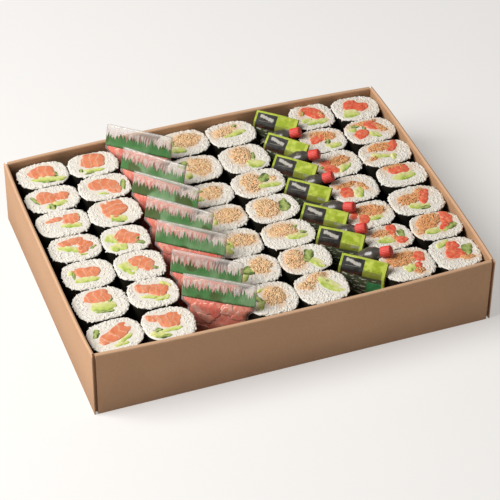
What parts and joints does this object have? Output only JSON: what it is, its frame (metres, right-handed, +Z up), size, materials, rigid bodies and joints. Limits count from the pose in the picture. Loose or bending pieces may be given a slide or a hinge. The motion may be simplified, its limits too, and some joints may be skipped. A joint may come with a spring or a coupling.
{
  "type": "sushi party tray",
  "caption": "Open board tray packed with cut sushi rolls, packets of pickled ginger and wasabi, and fish-shaped bottles of soy sauce.",
  "frame": {"origin": "middle of the tray's underside", "axes": "+X along the tray's long side, +Y to the back wall, +Z up"},
  "size_m": [0.4448, 0.3468, 0.1029],
  "materials": {
    "kraft_board": "matte",
    "salmon_roll": "moist",
    "chicken_roll": "moist",
    "crab_roll": "moist",
    "nori": "satin",
    "rice": "moist",
    "filling": "moist",
    "greens": "moist",
    "ginger_film": "gloss",
    "ginger": "wet",
    "wasabi_foil": "satin foil",
    "soy_bottle": "gloss",
    "bottle_cap": "satin"
  },
  "bodies": {
    "root": {"tray": "kraft_board", "salmon_roll_a1": "salmon_roll", "salmon_roll_a2": "salmon_roll", "salmon_roll_a3": "salmon_roll", "salmon_roll_a4": "salmon_roll", "salmon_roll_a5": "salmon_roll", "salmon_roll_a6": "salmon_roll", "salmon_roll_a7": "salmon_roll", "salmon_roll_b1": "salmon_roll", "salmon_roll_b2": "salmon_roll", "salmon_roll_b3": "salmon_roll", "salmon_roll_b4": "salmon_roll", "salmon_roll_b5": "salmon_roll", "salmon_roll_b6": "salmon_roll", "salmon_roll_b7": "salmon_roll", "chicken_roll_c1": "chicken_roll", "chicken_roll_c2": "chicken_roll", "chicken_roll_c3": "chicken_roll", "chicken_roll_c4": "chicken_roll", "chicken_roll_c5": "chicken_roll", "chicken_roll_c6": "chicken_roll", "chicken_roll_c7": "chicken_roll", "chicken_roll_d1": "chicken_roll", "chicken_roll_d2": "chicken_roll", "chicken_roll_d3": "chicken_roll", "chicken_roll_d4": "chicken_roll", "chicken_roll_d5": "chicken_roll", "chicken_roll_d6": "chicken_roll", "chicken_roll_d7": "chicken_roll", "crab_roll_e1": "crab_roll", "crab_roll_e2": "crab_roll", "crab_roll_e3": "crab_roll", "crab_roll_e4": "crab_roll", "crab_roll_e5": "crab_roll", "crab_roll_e6": "crab_roll", "crab_roll_e7": "crab_roll", "crab_roll_f1": "crab_roll", "crab_roll_f2": "crab_roll", "crab_roll_f3": "crab_roll", "crab_roll_f4": "crab_roll", "crab_roll_f5": "crab_roll", "crab_roll_f6": "crab_roll", "crab_roll_f7": "crab_roll", "ginger_packet_1": "ginger_film", "ginger_packet_2": "ginger_film", "ginger_packet_3": "ginger_film", "ginger_packet_4": "ginger_film", "ginger_packet_5": "ginger_film", "ginger_packet_6": "ginger_film", "ginger_packet_7": "ginger_film", "wasabi_packet_1": "wasabi_foil", "wasabi_packet_2": "wasabi_foil", "wasabi_packet_3": "wasabi_foil", "wasabi_packet_4": "wasabi_foil", "wasabi_packet_5": "wasabi_foil", "wasabi_packet_6": "wasabi_foil", "wasabi_packet_7": "wasabi_foil"}
  },
  "joints": []
}
